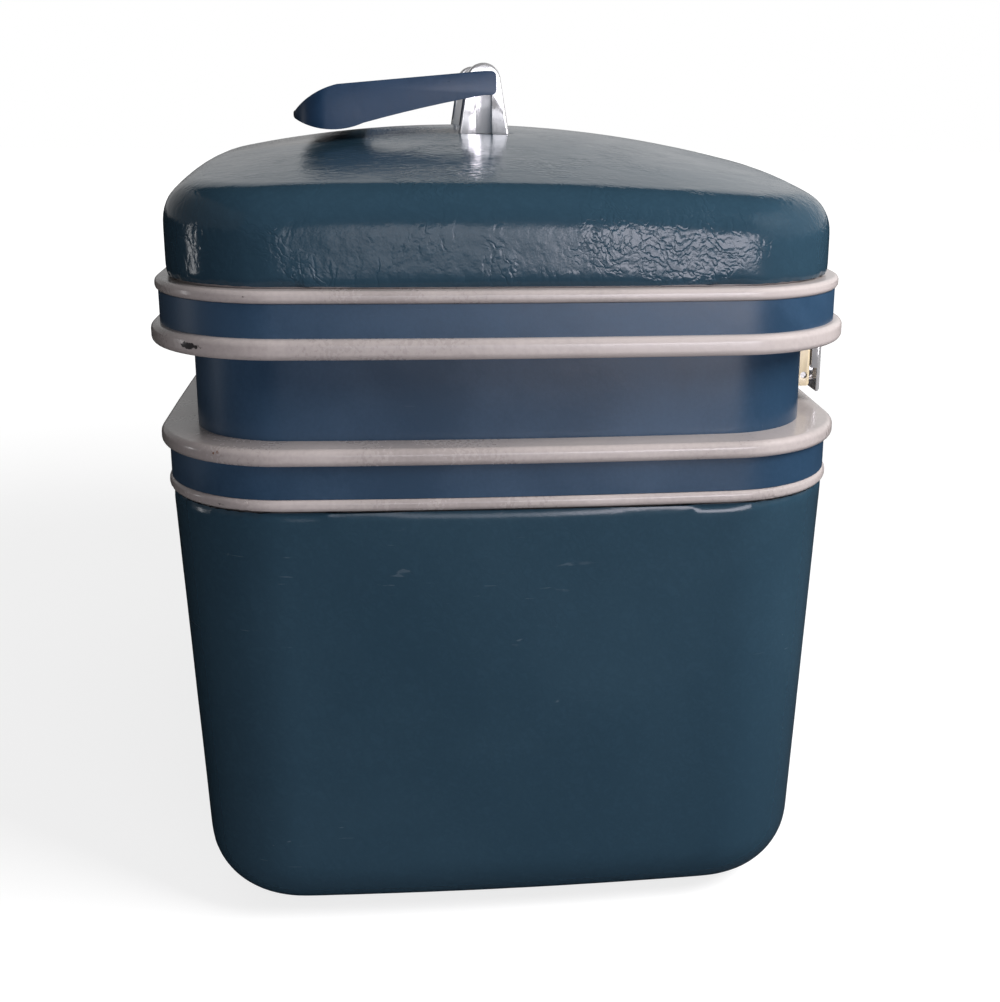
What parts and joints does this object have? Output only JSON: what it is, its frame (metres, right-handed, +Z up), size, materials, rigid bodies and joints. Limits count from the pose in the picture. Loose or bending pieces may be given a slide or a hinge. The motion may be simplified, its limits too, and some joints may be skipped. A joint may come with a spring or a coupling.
{
  "type": "cosmetic train case",
  "caption": "Hard-sided cosmetic train case: tapered body and domed hinged lid with painted frames, a swing handle, sprung front latches, and a lined inside with a tray and mirror.",
  "frame": {"origin": "on the floor under the middle of the case", "axes": "+X along the case's length, -Y towards the latches, +Z up"},
  "size_m": [0.342, 0.2422, 0.3011],
  "materials": {
    "shell": "glossy moulded leather grain, dark blue",
    "band": "satin dark blue covering",
    "bead": "painted taupe grey, worn",
    "handle": "glossy blue moulding",
    "bright": "bright plating",
    "steel": "plain plated steel",
    "latch_base": "beige enamel",
    "lining": "woven blue lining cloth over board",
    "tray": "satin blue moulding",
    "mirror": "silvered glass",
    "bezel": "satin blue bezel",
    "foot": "plain dark studs"
  },
  "bodies": {
    "case": {"body_band": "band", "body_frame": "bead", "body_lining": "lining", "body_shell": "shell", "foot_back_left": "foot", "foot_back_right": "foot", "foot_front_left": "foot", "foot_front_right": "foot", "hinge_body_leaf_left": "steel", "hinge_body_leaf_right": "steel", "hinge_pin_left": "steel", "hinge_pin_right": "steel", "hinge_rivets_body": "steel", "latch_base_left": "latch_base", "latch_base_right": "latch_base", "latch_pin_left": "steel", "latch_pin_right": "steel", "latch_rivets": "steel", "latch_spring_left": "steel", "latch_spring_right": "steel", "neck_band": "band", "stay_body_bracket": "steel", "tray": "tray", "tray_rail_left": "tray", "tray_rail_right": "tray"},
    "lid": {"lid_shell": "shell", "lid_frame": "bead", "lid_band": "band", "lid_lining": "lining", "mirror": "mirror", "mirror_frame": "bezel", "handle_post_left": "bright", "handle_post_right": "bright", "handle_pin_left": "bright", "handle_pin_right": "bright", "handle_plate_left": "steel", "handle_plate_right": "steel", "handle_screws": "steel", "hinge_lid_leaf_left": "steel", "hinge_lid_leaf_right": "steel", "hinge_rivets_lid": "steel", "latch_catch_left": "bright", "latch_catch_right": "bright", "stay_lid_bracket": "steel"},
    "handle": {"handle": "handle"},
    "stay_lower": {"stay_lower_link": "steel"},
    "stay_upper": {"stay_upper_link": "steel", "stay_elbow_rivet": "steel"},
    "hasp_left": {"latch_hasp_left": "bright"},
    "button_left": {"latch_button_left": "bright"},
    "lock_left": {"latch_lock_left": "bright"},
    "hasp_right": {"latch_hasp_right": "bright"},
    "button_right": {"latch_button_right": "bright"},
    "lock_right": {"latch_lock_right": "bright"}
  },
  "joints": [
    {"name": "lid_hinge", "type": "hinge", "parent": "case", "child": "lid", "pos_m": [0, 0.11302, 0.2016], "axis": [-1, 0, 0], "range_deg": [0, 100]},
    {"name": "handle_swing", "type": "hinge", "parent": "lid", "child": "handle", "pos_m": [0, 0.003, 0.29362], "axis": [1, 0, 0], "range_deg": [0, 200]},
    {"name": "hasp_left_swing", "type": "hinge", "parent": "case", "child": "hasp_left", "pos_m": [-0.092, -0.11292, 0.1893], "axis": [1, 0, 0], "range_deg": [0, 75]},
    {"name": "button_left_slide", "type": "slide", "parent": "hasp_left", "child": "button_left", "axis": [1, 0, 0], "range_m": [0, 0.003]},
    {"name": "lock_left_turn", "type": "hinge", "parent": "hasp_left", "child": "lock_left", "pos_m": [-0.092, -0.11893, 0.1885], "axis": [0, -1, 0], "range_deg": [0, 90]},
    {"name": "hasp_right_swing", "type": "hinge", "parent": "case", "child": "hasp_right", "pos_m": [0.092, -0.11292, 0.1893], "axis": [1, 0, 0], "range_deg": [0, 75]},
    {"name": "button_right_slide", "type": "slide", "parent": "hasp_right", "child": "button_right", "axis": [1, 0, 0], "range_m": [0, 0.003]},
    {"name": "lock_right_turn", "type": "hinge", "parent": "hasp_right", "child": "lock_right", "pos_m": [0.092, -0.11893, 0.1885], "axis": [0, -1, 0], "range_deg": [0, 90]},
    {"name": "stay_lower_swing", "type": "hinge", "parent": "case", "child": "stay_lower", "pos_m": [0.1473, 0.045, 0.1898], "axis": [-1, 0, 0], "range_deg": [0, 100]},
    {"name": "stay_upper_swing", "type": "hinge", "parent": "lid", "child": "stay_upper", "pos_m": [0.1456, 0.032, 0.217], "axis": [1, 0, 0], "range_deg": [0, 100]}
  ],
  "couplings": [
    {"joint": "stay_lower_swing", "follows": "lid_hinge", "ratio": 1},
    {"joint": "stay_upper_swing", "follows": "lid_hinge", "ratio": 1}
  ]
}
